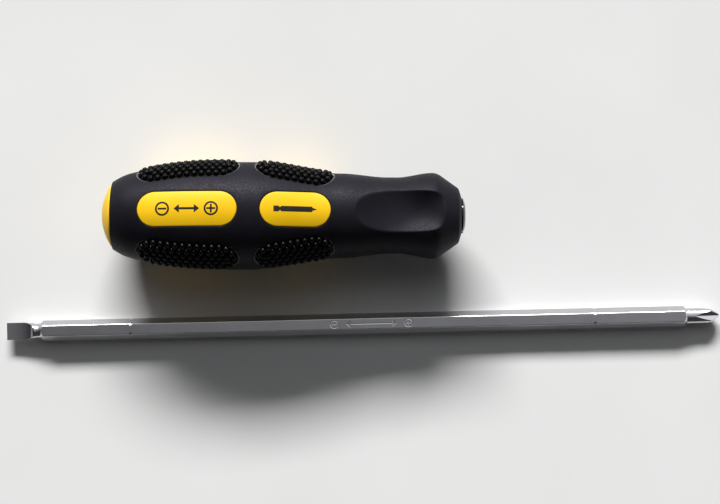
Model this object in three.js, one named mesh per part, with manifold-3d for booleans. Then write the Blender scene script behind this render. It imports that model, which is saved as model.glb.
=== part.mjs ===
// A double-ended screwdriver, laid out with its blade pulled from the handle and lying beside it.
// Millimetres, +Z up. The handle's axis runs along X, its butt at low X and its socket at high X.

import * as THREE from 'three';
import { mergeVertices } from 'three/addons/utils/BufferGeometryUtils.js';
import Module from 'manifold-3d';

// Blade, stations measured from the end of the slotted tip
const HEX_FLATS = 6.35;
const BLADE_LENGTH = 250;
const SLOT_WIDTH = 6;
const SLOT_THICKNESS = 1;
const SLOT_PARALLEL_LENGTH = 6.5;
const SLOT_SHOULDER_LENGTH = 2.2;
const SLOT_FACE_LENGTH = 9.7;
const NECK_DIAMETER = 5.3;
const NECK_END = 11.6;
const HEX_CHAMFER_LENGTH = 1.8;
const CROSS_TURNED_LENGTH = 10.4;
const CROSS_POINT_LENGTH = 3;
const CROSS_ROOT_DIAMETER = 5.3;
const CROSS_TIP_DIAMETER = 4.7;
const CROSS_BLUNT_DIAMETER = 1.5;
const CROSS_FLUTE_LENGTH = 7.8;
const CROSS_CORE_RADIUS = 0.8;
const GROOVE_FROM_END = 43.6;
const GROOVE_WIDTH = 1.2;
const GROOVE_DEPTH = 0.3;

// Butt cap
const CAP_RADIUS = 10.8;
const CAP_DOME_HEIGHT = 3.4;
const CAP_RIM_LENGTH = 1.8;
const CAP_SPIGOT_LENGTH = 8;

// Grip outline from the rear lip to the nose: a length for each stretch, walls and radii where stretches meet
const LIP_STEP = 0.5;
const LIP_WALL = 0.6;
const SHOULDER_LENGTH = 3.3;
const SHOULDER_RISE = 2.1;
const SWELL_LENGTH = 32.8;
const BELLY_RADIUS = 18.4;
const BELLY_LENGTH = 11;
const TAPER_LENGTH = 30.5;
const HUMP_RADIUS = 14.5;
const FALL_LENGTH = 16.5;
const WAIST_RADIUS = 13.15;
const WAIST_LENGTH = 3;
const RISE_LENGTH = 12;
const COLLAR_RADIUS = 14.7;
const COLLAR_ROUND = 1.5;
const NOSE_CONE_LENGTH = 7.5;
const NOSE_FACE_LENGTH = 1.5;
const NOSE_LIP = 1.3;
const NOSE_WALL = 0.35;
const GRIP_WALL = 4.4;

// Windows, pockets and dishes: three of each round the handle
const AROUND = 3;
const WINDOW_WIDTH = 12.1;
const REAR_WINDOW_FROM_LIP = 9.7;
const REAR_WINDOW_LENGTH = 33.7;
const WINDOW_SPACING = 7.5;
const FRONT_WINDOW_LENGTH = 23.8;
const WINDOW_RECESS = 0.1;
const POCKET_WIDTH = 13;
const REAR_POCKET_FROM_LIP = 8.9;
const REAR_POCKET_LENGTH = 34.5;
const POCKET_SPACING = 5.7;
const FRONT_POCKET_LENGTH = 26.4;
const DISH_BEHIND_NOSE = 20;
const DISH_WALL = 1.15;
const DISH_LONG_RADIUS = 37.7;
const DISH_CROSS_RADIUS = 21;
const DISH_CUTTER_LENGTH = 46;

// Studded pads
const PAD_RECESS = 0.5;
const PAD_THICKNESS = 0.7;
const STUD_PITCH = 2.5;
const STUD_ROW_PITCH = 2.1;
const STUD_ROWS = 6;
const STUD_BASE_RADIUS = 1.05;
const STUD_PROUD = 1.1;
const STUD_ROOT = 0.3;

// Socket, retaining ring and ferrule
const SOCKET_CLEARANCE = 0.2;
const SOCKET_WALL = 1.45;
const DISC_THICKNESS = 1.6;
const RING_WIRE = 1;
const RING_BITE = 0.25;
const RING_SPLIT_ANGLE = 40;
const FERRULE_FACE_WIDTH = 1;
const FERRULE_ROUND = 1.1;
const FERRULE_PROUD = 1.5;
const FERRULE_WALL = 1.3;
const FERRULE_SKIRT_LENGTH = 10;
const MOUTH_CLEARANCE = 0.3;

// Core
const CORE_WALL = 1.35;
const WEB_THICKNESS = 5;

// Fits, layout and fineness
const FIT_GAP = 0.3;
const HANDLE_ROLL = 7;
const BLADE_ASIDE = 37.5;
const BLADE_AHEAD = 89.3;
const BLADE_YAW = 1.31;
const ROUND_STEPS = 24;
const CURVE_STEPS = 4;
const COARSE_STEPS = 3;

// Stations along the handle, from the butt's apex
const lipAt = CAP_DOME_HEIGHT + LIP_STEP;
const shoulderAt = lipAt + SHOULDER_LENGTH;
const bellyAt = shoulderAt + SWELL_LENGTH;
const bellyEnd = bellyAt + BELLY_LENGTH;
const humpAt = bellyEnd + TAPER_LENGTH;
const waistAt = humpAt + FALL_LENGTH;
const waistEnd = waistAt + WAIST_LENGTH;
const collarAt = waistEnd + RISE_LENGTH;
const collarEdge = collarAt + COLLAR_ROUND;
const noseEdge = collarEdge + NOSE_CONE_LENGTH;
const noseFace = noseEdge + NOSE_FACE_LENGTH;
const handleLength = noseFace + FERRULE_PROUD;

// Stations and radii of the fits inside the handle, worked back from the nose
const hexCorner = HEX_FLATS / Math.sqrt(3);
const socketFlats = HEX_FLATS + SOCKET_CLEARANCE;
const sleeveFlats = socketFlats + 2 * SOCKET_WALL;
const sleeveCorner = sleeveFlats / Math.sqrt(3);
const skirtRadius = sleeveCorner + FIT_GAP + FERRULE_WALL;
const skirtFront = noseEdge - NOSE_LIP;
const skirtRear = skirtFront - FERRULE_SKIRT_LENGTH;
const ringPocketEnd = skirtFront - FERRULE_WALL;
const ringAt = ringPocketEnd - FIT_GAP - RING_WIRE / 2;
const ringMeanRadius = hexCorner - RING_BITE + RING_WIRE / 2;
const sleeveFront = ringAt - RING_WIRE / 2 - FIT_GAP;
const seatAt = ringAt - GROOVE_FROM_END;
const webFront = seatAt - DISC_THICKNESS - FIT_GAP;
const mouthRadius = hexCorner + MOUTH_CLEARANCE;
const ferruleFaceRadius = mouthRadius + FERRULE_FACE_WIDTH;
const ferruleRadius = ferruleFaceRadius + FERRULE_ROUND;
const coreNeckRadius = skirtRadius + FIT_GAP + CORE_WALL;
const capRear = CAP_DOME_HEIGHT + CAP_RIM_LENGTH;
const coreRear = capRear + FIT_GAP;

// Radii of the grip that follow from what it covers
const capBore = CAP_RADIUS + FIT_GAP;
const lipRadius = capBore + LIP_WALL;
const shoulderRadius = lipRadius + SHOULDER_RISE;
const noseEdgeRadius = coreNeckRadius + FIT_GAP + NOSE_WALL;
const dishFloorRadius = coreNeckRadius + FIT_GAP + DISH_WALL;
const pocketDepth = PAD_RECESS + PAD_THICKNESS + FIT_GAP;

const wasm = await Module();
wasm.setup();

// A closed geometry as a solid that can be joined and cut
function solidOf(geometry) {
  const bare = new THREE.BufferGeometry();
  bare.setAttribute('position', geometry.getAttribute('position'));
  bare.setIndex(geometry.getIndex());
  const merged = mergeVertices(bare);
  const corners = merged.getIndex().array;
  const kept = [];
  for (let i = 0; i < corners.length; i += 3) {
    const [a, b, c] = corners.subarray(i, i + 3);
    if (a !== b && b !== c && c !== a) kept.push(a, b, c);
  }
  const vertProperties = new Float32Array(merged.getAttribute('position').array);
  return new wasm.Manifold(new wasm.Mesh({ numProp: 3, vertProperties, triVerts: new Uint32Array(kept) }));
}

function geometryOf(solid) {
  const { vertProperties, triVerts } = solid.getMesh();
  const geometry = new THREE.BufferGeometry();
  geometry.setAttribute('position', new THREE.BufferAttribute(vertProperties, 3));
  geometry.setIndex(new THREE.BufferAttribute(triVerts, 1));
  geometry.computeVertexNormals();
  return geometry;
}

// A solid of revolution about X from [station, radius] points, its outer side running towards +X
function turned(points) {
  const profile = points.map(([station, radius]) => new THREE.Vector2(radius, station));
  return solidOf(new THREE.LatheGeometry(profile, ROUND_STEPS).rotateZ(-Math.PI / 2));
}

// A shape drawn in (Y, Z), extruded along X between two stations
function alongX(shape, from, to) {
  const cyclic = new THREE.Matrix4().makeBasis(
    new THREE.Vector3(0, 1, 0),
    new THREE.Vector3(0, 0, 1),
    new THREE.Vector3(1, 0, 0),
  );
  const geometry = new THREE.ExtrudeGeometry(shape, { depth: to - from, bevelEnabled: false });
  return solidOf(geometry.applyMatrix4(cyclic).translate(from, 0, 0));
}

// A hexagon with a flat towards +Z
function hexagon(flats) {
  const corners = [];
  for (let i = 0; i < 6; i += 1) {
    const angle = i * Math.PI / 3;
    corners.push(new THREE.Vector2(Math.cos(angle), Math.sin(angle)).multiplyScalar(flats / Math.sqrt(3)));
  }
  return new THREE.Shape(corners);
}

// A copy of a solid turned about X, in degrees
function turnedAbout(solid, degrees) {
  return solid.rotate([degrees, 0, 0]);
}

// The grip's outer outline as [station, radius] points, from the lip to the nose's face
function gripOutline(steps) {
  const path = new THREE.Path();
  const swing = (fromAt, fromRadius, toAt, toRadius) => {
    const third = (toAt - fromAt) / 3;
    path.bezierCurveTo(fromAt + third, fromRadius, toAt - third, toRadius, toAt, toRadius);
  };
  const coneSlope = (COLLAR_RADIUS - noseEdgeRadius) / NOSE_CONE_LENGTH;
  path.moveTo(lipAt, lipRadius);
  path.lineTo(shoulderAt, shoulderRadius);
  path.quadraticCurveTo((shoulderAt + bellyAt) / 2, BELLY_RADIUS, bellyAt, BELLY_RADIUS);
  path.lineTo(bellyEnd, BELLY_RADIUS);
  swing(bellyEnd, BELLY_RADIUS, humpAt, HUMP_RADIUS);
  swing(humpAt, HUMP_RADIUS, waistAt, WAIST_RADIUS);
  path.lineTo(waistEnd, WAIST_RADIUS);
  swing(waistEnd, WAIST_RADIUS, collarAt, COLLAR_RADIUS);
  path.quadraticCurveTo(
    collarEdge,
    COLLAR_RADIUS,
    collarEdge + COLLAR_ROUND,
    COLLAR_RADIUS - COLLAR_ROUND * coneSlope,
  );
  path.lineTo(noseEdge, noseEdgeRadius);
  path.lineTo(noseFace, ferruleRadius + FIT_GAP);
  return path.getPoints(steps).map((point) => [point.x, point.y]);
}

// The grip's outer radius at a station
function gripRadius(station) {
  const points = gripOutline(CURVE_STEPS);
  const next = points.findIndex(([at]) => at >= station);
  const [fromAt, fromRadius] = points[next - 1];
  const [toAt, toRadius] = points[next];
  return THREE.MathUtils.mapLinear(station, fromAt, toAt, fromRadius, toRadius);
}

// The core's outer outline with a margin round it: swollen up to the waist, then straight to its front
function coreOutline(margin, rear, front) {
  const swollen = gripOutline(COARSE_STEPS).filter(([at]) => at > rear && at < waistAt);
  const points = swollen.map(([at, radius]) => [at, radius - GRIP_WALL + margin]);
  const rearRadius = gripRadius(rear) - GRIP_WALL + margin;
  const neckRadius = coreNeckRadius + margin;
  return [[rear, rearRadius], ...points, [waistAt, neckRadius], [front, neckRadius]];
}

// The radius of the hollow in the core's rear, which the butt cap's spigot closes
function coreHollowRadius() {
  return gripRadius(coreRear) - GRIP_WALL - CORE_WALL;
}

// A filled body of the grip's outline, lowered by a depth
function gripBody(depth) {
  const outline = gripOutline(CURVE_STEPS).map(([at, radius]) => [at, radius - depth]);
  return turned([[lipAt, 0], ...outline, [noseFace, 0]]);
}

// A prism with round ends, standing on the handle's axis and reaching out past the grip along +Z
function roundEndedPrism(start, length, width) {
  const radius = width / 2;
  const shape = new THREE.Shape();
  shape.moveTo(start + radius, -radius);
  shape.lineTo(start + length - radius, -radius);
  shape.absarc(start + length - radius, 0, radius, -Math.PI / 2, Math.PI / 2);
  shape.lineTo(start + radius, radius);
  shape.absarc(start + radius, 0, radius, Math.PI / 2, Math.PI * 1.5);
  const depth = 2 * BELLY_RADIUS;
  const settings = { depth, bevelEnabled: false, curveSegments: CURVE_STEPS };
  return solidOf(new THREE.ExtrudeGeometry(shape, settings));
}

const rearWindow = { start: lipAt + REAR_WINDOW_FROM_LIP, length: REAR_WINDOW_LENGTH };
const frontWindow = {
  start: rearWindow.start + rearWindow.length + WINDOW_SPACING,
  length: FRONT_WINDOW_LENGTH,
};
const rearPocket = { start: lipAt + REAR_POCKET_FROM_LIP, length: REAR_POCKET_LENGTH };
const frontPocket = {
  start: rearPocket.start + rearPocket.length + POCKET_SPACING,
  length: FRONT_POCKET_LENGTH,
};

// Directions round the handle, in degrees from +Z: windows and dishes share one set, pockets lie between them
const windowTurns = [];
const pocketTurns = [];
for (let i = 0; i < AROUND; i += 1) {
  windowTurns.push(i * 360 / AROUND);
  pocketTurns.push((i + 0.5) * 360 / AROUND);
}

// A barrel that hollows a thumb dish out of the neck facing +Z
function dishCutter() {
  const centreAt = noseFace - DISH_BEHIND_NOSE;
  const half = DISH_CUTTER_LENGTH / 2;
  const points = [[centreAt - half, 0]];
  const steps = CURVE_STEPS * 2;
  for (let i = 0; i <= steps; i += 1) {
    const along = THREE.MathUtils.mapLinear(i, 0, steps, -half, half);
    const rise = DISH_LONG_RADIUS - Math.sqrt(DISH_LONG_RADIUS ** 2 - along ** 2);
    points.push([centreAt + along, DISH_CROSS_RADIUS - rise]);
  }
  points.push([centreAt + half, 0]);
  return turned(points).translate([0, 0, dishFloorRadius + DISH_CROSS_RADIUS]);
}

function gripSleeve() {
  const mouth = ferruleRadius + FIT_GAP;
  const inside = coreOutline(FIT_GAP, coreRear, skirtFront + FIT_GAP).reverse();
  let sleeve = turned([
    ...gripOutline(CURVE_STEPS),
    [skirtFront + FIT_GAP, mouth],
    ...inside,
    [coreRear, capBore],
    [lipAt, capBore],
    [lipAt, lipRadius],
  ]);
  const pocketFloor = gripBody(pocketDepth);
  for (const { start, length } of [rearPocket, frontPocket]) {
    const cutter = roundEndedPrism(start, length, POCKET_WIDTH);
    for (const turn of pocketTurns) {
      sleeve = sleeve.subtract(turnedAbout(cutter, turn).subtract(pocketFloor));
    }
  }
  for (const { start, length } of [rearWindow, frontWindow]) {
    const cutter = roundEndedPrism(start, length, WINDOW_WIDTH);
    for (const turn of windowTurns) sleeve = sleeve.subtract(turnedAbout(cutter, turn));
  }
  const dish = dishCutter();
  for (const turn of windowTurns) sleeve = sleeve.subtract(turnedAbout(dish, turn));
  return sleeve;
}

function handleCore() {
  const skirtBore = skirtRadius + FIT_GAP;
  const hollowEnd = webFront - WEB_THICKNESS;
  const hollowRadius = coreHollowRadius();
  let core = turned([
    [hollowEnd, 0],
    [hollowEnd, hollowRadius],
    [coreRear, hollowRadius],
    ...coreOutline(0, coreRear, skirtFront),
    [skirtFront, skirtBore],
    [skirtRear - FIT_GAP, skirtBore],
    [skirtRear - FIT_GAP, 0],
  ]);
  core = core.subtract(alongX(hexagon(sleeveFlats + 2 * FIT_GAP), webFront, skirtFront));
  const flush = gripBody(WINDOW_RECESS).subtract(
    turned([[lipAt, 0], ...coreOutline(-FIT_GAP, coreRear, skirtFront), [skirtFront, 0]]),
  );
  for (const { start, length } of [rearWindow, frontWindow]) {
    const inset = roundEndedPrism(start + FIT_GAP, length - 2 * FIT_GAP, WINDOW_WIDTH - 2 * FIT_GAP);
    for (const turn of windowTurns) core = core.add(turnedAbout(inset, turn).intersect(flush));
  }
  return core;
}

function buttCap() {
  const sphere = (CAP_RADIUS ** 2 + CAP_DOME_HEIGHT ** 2) / (2 * CAP_DOME_HEIGHT);
  const spread = Math.asin(CAP_RADIUS / sphere);
  const dome = new THREE.Path().absarc(sphere, 0, sphere, Math.PI, Math.PI - spread, true);
  const spigot = coreHollowRadius() - FIT_GAP;
  return turned([
    ...dome.getPoints(CURVE_STEPS / 2).map((point) => [point.x, Math.max(point.y, 0)]),
    [capRear, CAP_RADIUS],
    [capRear, spigot],
    [capRear + CAP_SPIGOT_LENGTH, spigot],
    [capRear + CAP_SPIGOT_LENGTH, 0],
  ]);
}

// One studded pad in the pocket facing +Z
function studPad({ start, length }) {
  const inset = roundEndedPrism(start + FIT_GAP, length - 2 * FIT_GAP, POCKET_WIDTH - 2 * FIT_GAP);
  let pad = inset.intersect(gripBody(PAD_RECESS)).subtract(gripBody(pocketDepth - FIT_GAP));
  const height = STUD_ROOT + PAD_RECESS + STUD_PROUD;
  const stud = solidOf(
    new THREE.ConeGeometry(STUD_BASE_RADIUS, height, 4).rotateX(Math.PI / 2),
  );
  const roundEnd = POCKET_WIDTH / 2 - FIT_GAP - STUD_BASE_RADIUS;
  const straight = length / 2 - POCKET_WIDTH / 2;
  const middle = start + length / 2;
  for (let row = 0; row < STUD_ROWS; row += 1) {
    const across = (row - (STUD_ROWS - 1) / 2) * STUD_ROW_PITCH;
    const stagger = row % 2 === 0 ? STUD_PITCH / 2 : 0;
    const reach = straight + Math.sqrt(Math.max(roundEnd ** 2 - across ** 2, 0));
    for (let along = stagger; along <= reach; along += STUD_PITCH) {
      const sides = along === 0 ? [0] : [-along, along];
      for (const side of sides) {
        const surface = gripRadius(middle + side);
        const lean = Math.asin(across / surface);
        const out = surface - PAD_RECESS - STUD_ROOT + height / 2;
        const placed = stud.translate([middle + side, 0, out]);
        pad = pad.add(turnedAbout(placed, THREE.MathUtils.radToDeg(-lean)));
      }
    }
  }
  return pad;
}

function socketSleeve() {
  const section = hexagon(sleeveFlats);
  section.holes.push(hexagon(socketFlats));
  return alongX(section, seatAt + FIT_GAP, sleeveFront);
}

function thrustDisc() {
  const radius = sleeveFlats / 2;
  return turned([
    [seatAt - DISC_THICKNESS, 0],
    [seatAt - DISC_THICKNESS, radius],
    [seatAt, radius],
    [seatAt, 0],
  ]);
}

function retainingRing() {
  const wire = new THREE.Shape().absarc(0, 0, RING_WIRE / 2, 0, 2 * Math.PI);
  const half = THREE.MathUtils.degToRad(RING_SPLIT_ANGLE / 2);
  const round = new THREE.CatmullRomCurve3();
  const steps = ROUND_STEPS / 2;
  for (let i = 0; i <= steps; i += 1) {
    const angle = THREE.MathUtils.mapLinear(i, 0, steps, half, 2 * Math.PI - half);
    round.points.push(new THREE.Vector3(0, Math.sin(angle), Math.cos(angle)).multiplyScalar(ringMeanRadius));
  }
  const settings = { steps, extrudePath: round, curveSegments: CURVE_STEPS, bevelEnabled: false };
  return solidOf(new THREE.ExtrudeGeometry(wire, settings)).translate([ringAt, 0, 0]);
}

function noseFerrule() {
  const ringPocket = ringMeanRadius + RING_WIRE / 2 + FIT_GAP;
  const sleevePocket = sleeveCorner + FIT_GAP;
  const dome = new THREE.QuadraticBezierCurve(
    new THREE.Vector2(noseFace, ferruleRadius),
    new THREE.Vector2(handleLength, ferruleRadius),
    new THREE.Vector2(handleLength, ferruleFaceRadius),
  );
  return turned([
    [skirtRear, skirtRadius],
    [skirtFront, skirtRadius],
    [skirtFront, ferruleRadius],
    ...dome.getPoints(CURVE_STEPS).map((point) => [point.x, point.y]),
    [handleLength, mouthRadius],
    [ringPocketEnd, mouthRadius],
    [ringPocketEnd, ringPocket],
    [ringAt - RING_WIRE / 2, ringPocket],
    [ringAt - RING_WIRE / 2, sleevePocket],
    [skirtRear, sleevePocket],
    [skirtRear, skirtRadius],
  ]);
}

// The slotted tip: a flared plate and a round neck, both ground by two hollow faces
function slottedTip() {
  const half = SLOT_WIDTH / 2;
  const neck = NECK_DIAMETER / 2;
  const shoulderEnd = SLOT_PARALLEL_LENGTH + SLOT_SHOULDER_LENGTH;
  const plan = new THREE.Shape();
  plan.moveTo(0, -half);
  plan.lineTo(SLOT_PARALLEL_LENGTH, -half);
  plan.quadraticCurveTo((SLOT_PARALLEL_LENGTH + shoulderEnd) / 2, -half, shoulderEnd, -neck * Math.SQRT1_2);
  plan.lineTo(shoulderEnd, neck * Math.SQRT1_2);
  plan.quadraticCurveTo((SLOT_PARALLEL_LENGTH + shoulderEnd) / 2, half, SLOT_PARALLEL_LENGTH, half);
  plan.lineTo(0, half);
  const settings = { depth: NECK_DIAMETER, bevelEnabled: false, curveSegments: CURVE_STEPS };
  const plate = solidOf(new THREE.ExtrudeGeometry(plan, settings).translate(0, 0, -neck));
  const shank = turned([
    [SLOT_PARALLEL_LENGTH, 0],
    [SLOT_PARALLEL_LENGTH, neck],
    [NECK_END + HEX_CHAMFER_LENGTH, neck],
    [NECK_END + HEX_CHAMFER_LENGTH, 0],
  ]);
  const side = new THREE.Shape();
  const tip = SLOT_THICKNESS / 2;
  const tall = HEX_FLATS;
  const far = NECK_END + HEX_CHAMFER_LENGTH;
  side.moveTo(0, -tip);
  side.quadraticCurveTo(SLOT_FACE_LENGTH / 2, -tip, SLOT_FACE_LENGTH, -neck);
  side.lineTo(SLOT_FACE_LENGTH, -tall);
  side.lineTo(far, -tall);
  side.lineTo(far, tall);
  side.lineTo(SLOT_FACE_LENGTH, tall);
  side.lineTo(SLOT_FACE_LENGTH, neck);
  side.quadraticCurveTo(SLOT_FACE_LENGTH / 2, tip, 0, tip);
  const across = { depth: 2 * SLOT_WIDTH, bevelEnabled: false, curveSegments: CURVE_STEPS };
  const ground = new THREE.ExtrudeGeometry(side, across).rotateX(Math.PI / 2).translate(0, SLOT_WIDTH, 0);
  return plate.add(shank).intersect(solidOf(ground));
}

// The cross tip: a turned taper and point with four flutes
function crossTip() {
  const pointAt = BLADE_LENGTH - CROSS_POINT_LENGTH;
  const turnedFrom = BLADE_LENGTH - CROSS_TURNED_LENGTH;
  const hidden = turnedFrom - HEX_CHAMFER_LENGTH;
  let tip = turned([
    [hidden, 0],
    [hidden, CROSS_ROOT_DIAMETER / 2],
    [turnedFrom, CROSS_ROOT_DIAMETER / 2],
    [pointAt, CROSS_TIP_DIAMETER / 2],
    [BLADE_LENGTH, CROSS_BLUNT_DIAMETER / 2],
    [BLADE_LENGTH, 0],
  ]);
  const opening = CROSS_ROOT_DIAMETER;
  const vee = new THREE.Shape([
    new THREE.Vector2(0, 0),
    new THREE.Vector2(opening, opening),
    new THREE.Vector2(-opening, opening),
  ]);
  const slope = Math.atan2(CROSS_ROOT_DIAMETER / 2 - CROSS_CORE_RADIUS, CROSS_FLUTE_LENGTH);
  const flute = alongX(vee, -2 * CROSS_FLUTE_LENGTH, CROSS_FLUTE_LENGTH)
    .rotate([0, THREE.MathUtils.radToDeg(slope), 0])
    .translate([BLADE_LENGTH, 0, CROSS_CORE_RADIUS]);
  for (let i = 0; i < 4; i += 1) tip = tip.subtract(turnedAbout(flute, i * 90));
  return tip;
}

function blade() {
  const hexEnd = BLADE_LENGTH - CROSS_TURNED_LENGTH;
  const clear = 2 * hexCorner;
  const chamfered = turned([
    [NECK_END, 0],
    [NECK_END, NECK_DIAMETER / 2],
    [NECK_END + HEX_CHAMFER_LENGTH, hexCorner],
    [hexEnd - HEX_CHAMFER_LENGTH, hexCorner],
    [hexEnd, CROSS_ROOT_DIAMETER / 2],
    [hexEnd, 0],
  ]);
  let bar = alongX(hexagon(HEX_FLATS), NECK_END, hexEnd).intersect(chamfered);
  for (const at of [GROOVE_FROM_END, BLADE_LENGTH - GROOVE_FROM_END]) {
    const root = hexCorner - GROOVE_DEPTH;
    const from = at - GROOVE_WIDTH / 2;
    const to = at + GROOVE_WIDTH / 2;
    bar = bar.subtract(turned([[from, root], [from, clear], [to, clear], [to, root], [from, root]]));
  }
  return bar.add(slottedTip()).add(crossTip());
}

const rubber = { roughness: 0.75, metalness: 0 };
const hardPlastic = { roughness: 0.3, metalness: 0 };
const steel = { roughness: 0.28, metalness: 1 };

function named(name, solid, colour, finish) {
  const material = new THREE.MeshStandardMaterial({ color: colour, ...finish });
  const mesh = new THREE.Mesh(geometryOf(solid), material);
  mesh.name = name;
  return mesh;
}

const handle = new THREE.Group();
handle.add(
  named('grip_sleeve', gripSleeve(), 0x34333b, rubber),
  named('handle_core', handleCore(), 0xf2d22e, hardPlastic),
  named('butt_cap', buttCap(), 0xe6c433, hardPlastic),
  named('nose_ferrule', noseFerrule(), 0xc9c7c4, steel),
  named('socket_sleeve', socketSleeve(), 0x9a9b9e, steel),
  named('thrust_disc', thrustDisc(), 0x7d7e82, steel),
  named('retaining_ring', retainingRing(), 0x6f7276, steel),
);
for (const [where, pocket] of [['rear', rearPocket], ['front', frontPocket]]) {
  const pad = studPad(pocket);
  pocketTurns.forEach((turn, i) => {
    handle.add(named(`stud_pad_${where}_${i + 1}`, turnedAbout(pad, turn), 0x131316, rubber));
  });
}
handle.rotation.x = -THREE.MathUtils.degToRad(HANDLE_ROLL);
handle.position.z = -new THREE.Box3().setFromObject(handle, true).min.z;

// The blade lies on one of its flats, turned a little from the handle's axis
const bladeMesh = named('blade', blade().translate([-BLADE_LENGTH / 2, 0, 0]), 0xb9bcc0, steel);
bladeMesh.position.set(BLADE_AHEAD, -BLADE_ASIDE, HEX_FLATS / 2);
bladeMesh.rotation.z = THREE.MathUtils.degToRad(BLADE_YAW);

// The origin is below the middle of the layout, on the surface that it lies on
const screwdriver = new THREE.Group();
screwdriver.add(handle, bladeMesh);
const box = new THREE.Box3().setFromObject(screwdriver, true);
const middle = box.getCenter(new THREE.Vector3());
screwdriver.position.set(-middle.x, -middle.y, -box.min.z);

export default screwdriver;
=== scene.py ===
import math

import bmesh
import bpy
from mathutils import Matrix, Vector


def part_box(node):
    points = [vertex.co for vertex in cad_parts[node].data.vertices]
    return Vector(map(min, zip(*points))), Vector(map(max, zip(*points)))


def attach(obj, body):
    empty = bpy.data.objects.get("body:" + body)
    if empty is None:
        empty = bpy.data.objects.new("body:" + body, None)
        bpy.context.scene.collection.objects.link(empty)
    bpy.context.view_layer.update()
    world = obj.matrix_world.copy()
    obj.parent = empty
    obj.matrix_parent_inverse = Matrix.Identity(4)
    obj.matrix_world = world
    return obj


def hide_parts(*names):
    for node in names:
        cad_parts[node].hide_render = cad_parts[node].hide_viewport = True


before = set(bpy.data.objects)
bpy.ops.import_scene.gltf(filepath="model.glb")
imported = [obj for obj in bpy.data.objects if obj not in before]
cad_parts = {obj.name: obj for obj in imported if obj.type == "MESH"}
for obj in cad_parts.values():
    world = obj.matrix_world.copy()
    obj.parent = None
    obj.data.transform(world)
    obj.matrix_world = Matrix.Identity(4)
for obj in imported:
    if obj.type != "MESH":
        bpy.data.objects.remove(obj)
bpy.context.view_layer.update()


# Handle core
# A hard yellow moulding that fills the handle, bored from the front for the steel socket.
# Six raised pads on it come up through holes in the rubber and show as the yellow windows.

# Millimetres. Stations run along the handle from the apex of the butt.
lip_at = 3.9
lip_radius = 11.7
lip_slope = 0.6364
lip_rounding = 1.0
shoulder_at = 7.2
shoulder_drop = 4.6
belly_at = 40.0
belly_end = 51.0
belly_radius = 18.4
hump_at = 81.5
hump_drop = 3.9
waist_at = 98.0
waist_end = 101.0
waist_drop = 1.35
collar_at = 113.0
collar_rise = 1.55
cone_at = 114.5
cone_radius = 14.7
cone_slope = 0.7125
cone_rounding = 1.07
nose_at = 122.0
nose_radius = 9.356
nose_slope = 3.1
nose_rounding = 0.5
nose_end = 122.95


def soft_min(first, second, rounding):
    """The smaller of two radii, with the corner between them rounded off."""
    overlap = max(rounding - abs(first - second), 0)
    return min(first, second) - overlap ** 2 / (4 * rounding)


def eased(at, start, end):
    """From 0 at start to 1 at end, level at both."""
    share = min(max((at - start) / (end - start), 0), 1)
    return share * share * (3 - 2 * share)


def grip_radius(at):
    """The grip's outer radius at a station, leaving the dishes out."""
    left_to_swell = 1 - min((at - shoulder_at) / (belly_at - shoulder_at), 1)
    radius = belly_radius - shoulder_drop * left_to_swell ** 2
    radius -= hump_drop * eased(at, belly_end, hump_at)
    radius -= waist_drop * eased(at, hump_at, waist_at)
    radius += collar_rise * eased(at, waist_end, collar_at)
    radius = soft_min(radius, lip_radius + lip_slope * (at - lip_at), lip_rounding)
    radius = soft_min(radius, cone_radius - cone_slope * (at - cone_at), cone_rounding)
    return soft_min(radius, nose_radius - nose_slope * (at - nose_at), nose_rounding)


# A thumb dish is hollowed to an arc along the handle and to a parabola across it.
# From its widest place it has a reach and a squareness to the rear, and others to the front.
dish_deepest = 103.5
dish_floor = 10.16
dish_long_radius = 37.7
dish_widest = 101.5
dish_half = 7.0
dish_least_half = 0.2
dish_most_angle = math.radians(50)
dish_rear = (14.5, 2.4)
dish_front = (15.6, 4.5)


def dish_half_width(at):
    """Half the width of a dish at a station, as seen from straight above it."""
    reach, squareness = dish_rear if at < dish_widest else dish_front
    share = min(abs(at - dish_widest) / reach, 1)
    return dish_half * (1 - share ** squareness) ** (1 / squareness)


def dish_radius(at, angle):
    """The radius of a dish's hollow at an angle from its middle, far out where there is no dish."""
    half = dish_half_width(at)
    if half < dish_least_half or abs(angle) > dish_most_angle:
        return 2 * dish_long_radius
    floor = dish_floor + dish_long_radius - math.sqrt(dish_long_radius ** 2 - (at - dish_deepest) ** 2)
    rise = (math.sqrt(grip_radius(at) ** 2 - half ** 2) - floor) / half ** 2
    under = math.cos(angle) ** 2 - 4 * rise * floor * math.sin(angle) ** 2
    if under <= 0:
        return 2 * dish_long_radius
    return 2 * floor / (math.cos(angle) + math.sqrt(under))


# The handle's skin is laid out flat first, with the stations along it.
# Across it come a window, a rib, a pocket and a rib, three times.
# Ahead of the pockets, where no more openings follow, the places across it spread evenly.
window_half = 6.05
rib_width = 5.0
pocket_half = 6.5
pocket_from = window_half + rib_width
third = 2 * (pocket_from + pocket_half)
sixth_turn = math.radians(60)
least_radius = 14.4
spread_from = 79.5
spread_even = 86


def side_angle(at, aside):
    """The angle from a window's middle of a place that lies aside from it on the flat skin."""
    radius = max(grip_radius(at), least_radius)
    window_edge = math.asin(window_half / radius)
    pocket_edge = sixth_turn - math.asin(pocket_half / radius)
    if aside <= window_half:
        angle = math.asin(aside / radius)
    elif aside <= pocket_from:
        angle = window_edge + (pocket_edge - window_edge) * (aside - window_half) / rib_width
    else:
        angle = sixth_turn - math.asin((third / 2 - aside) / radius)
    even = sixth_turn * aside / (third / 2)
    return angle + (even - angle) * eased(at, spread_from, spread_even)


dish_rounding = 0.35
inner_side = -0.5
cap_room_end = 8
cap_room_radius = 11.1
ferrule_room_from = 120
ferrule_room_radius = 6.12


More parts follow.
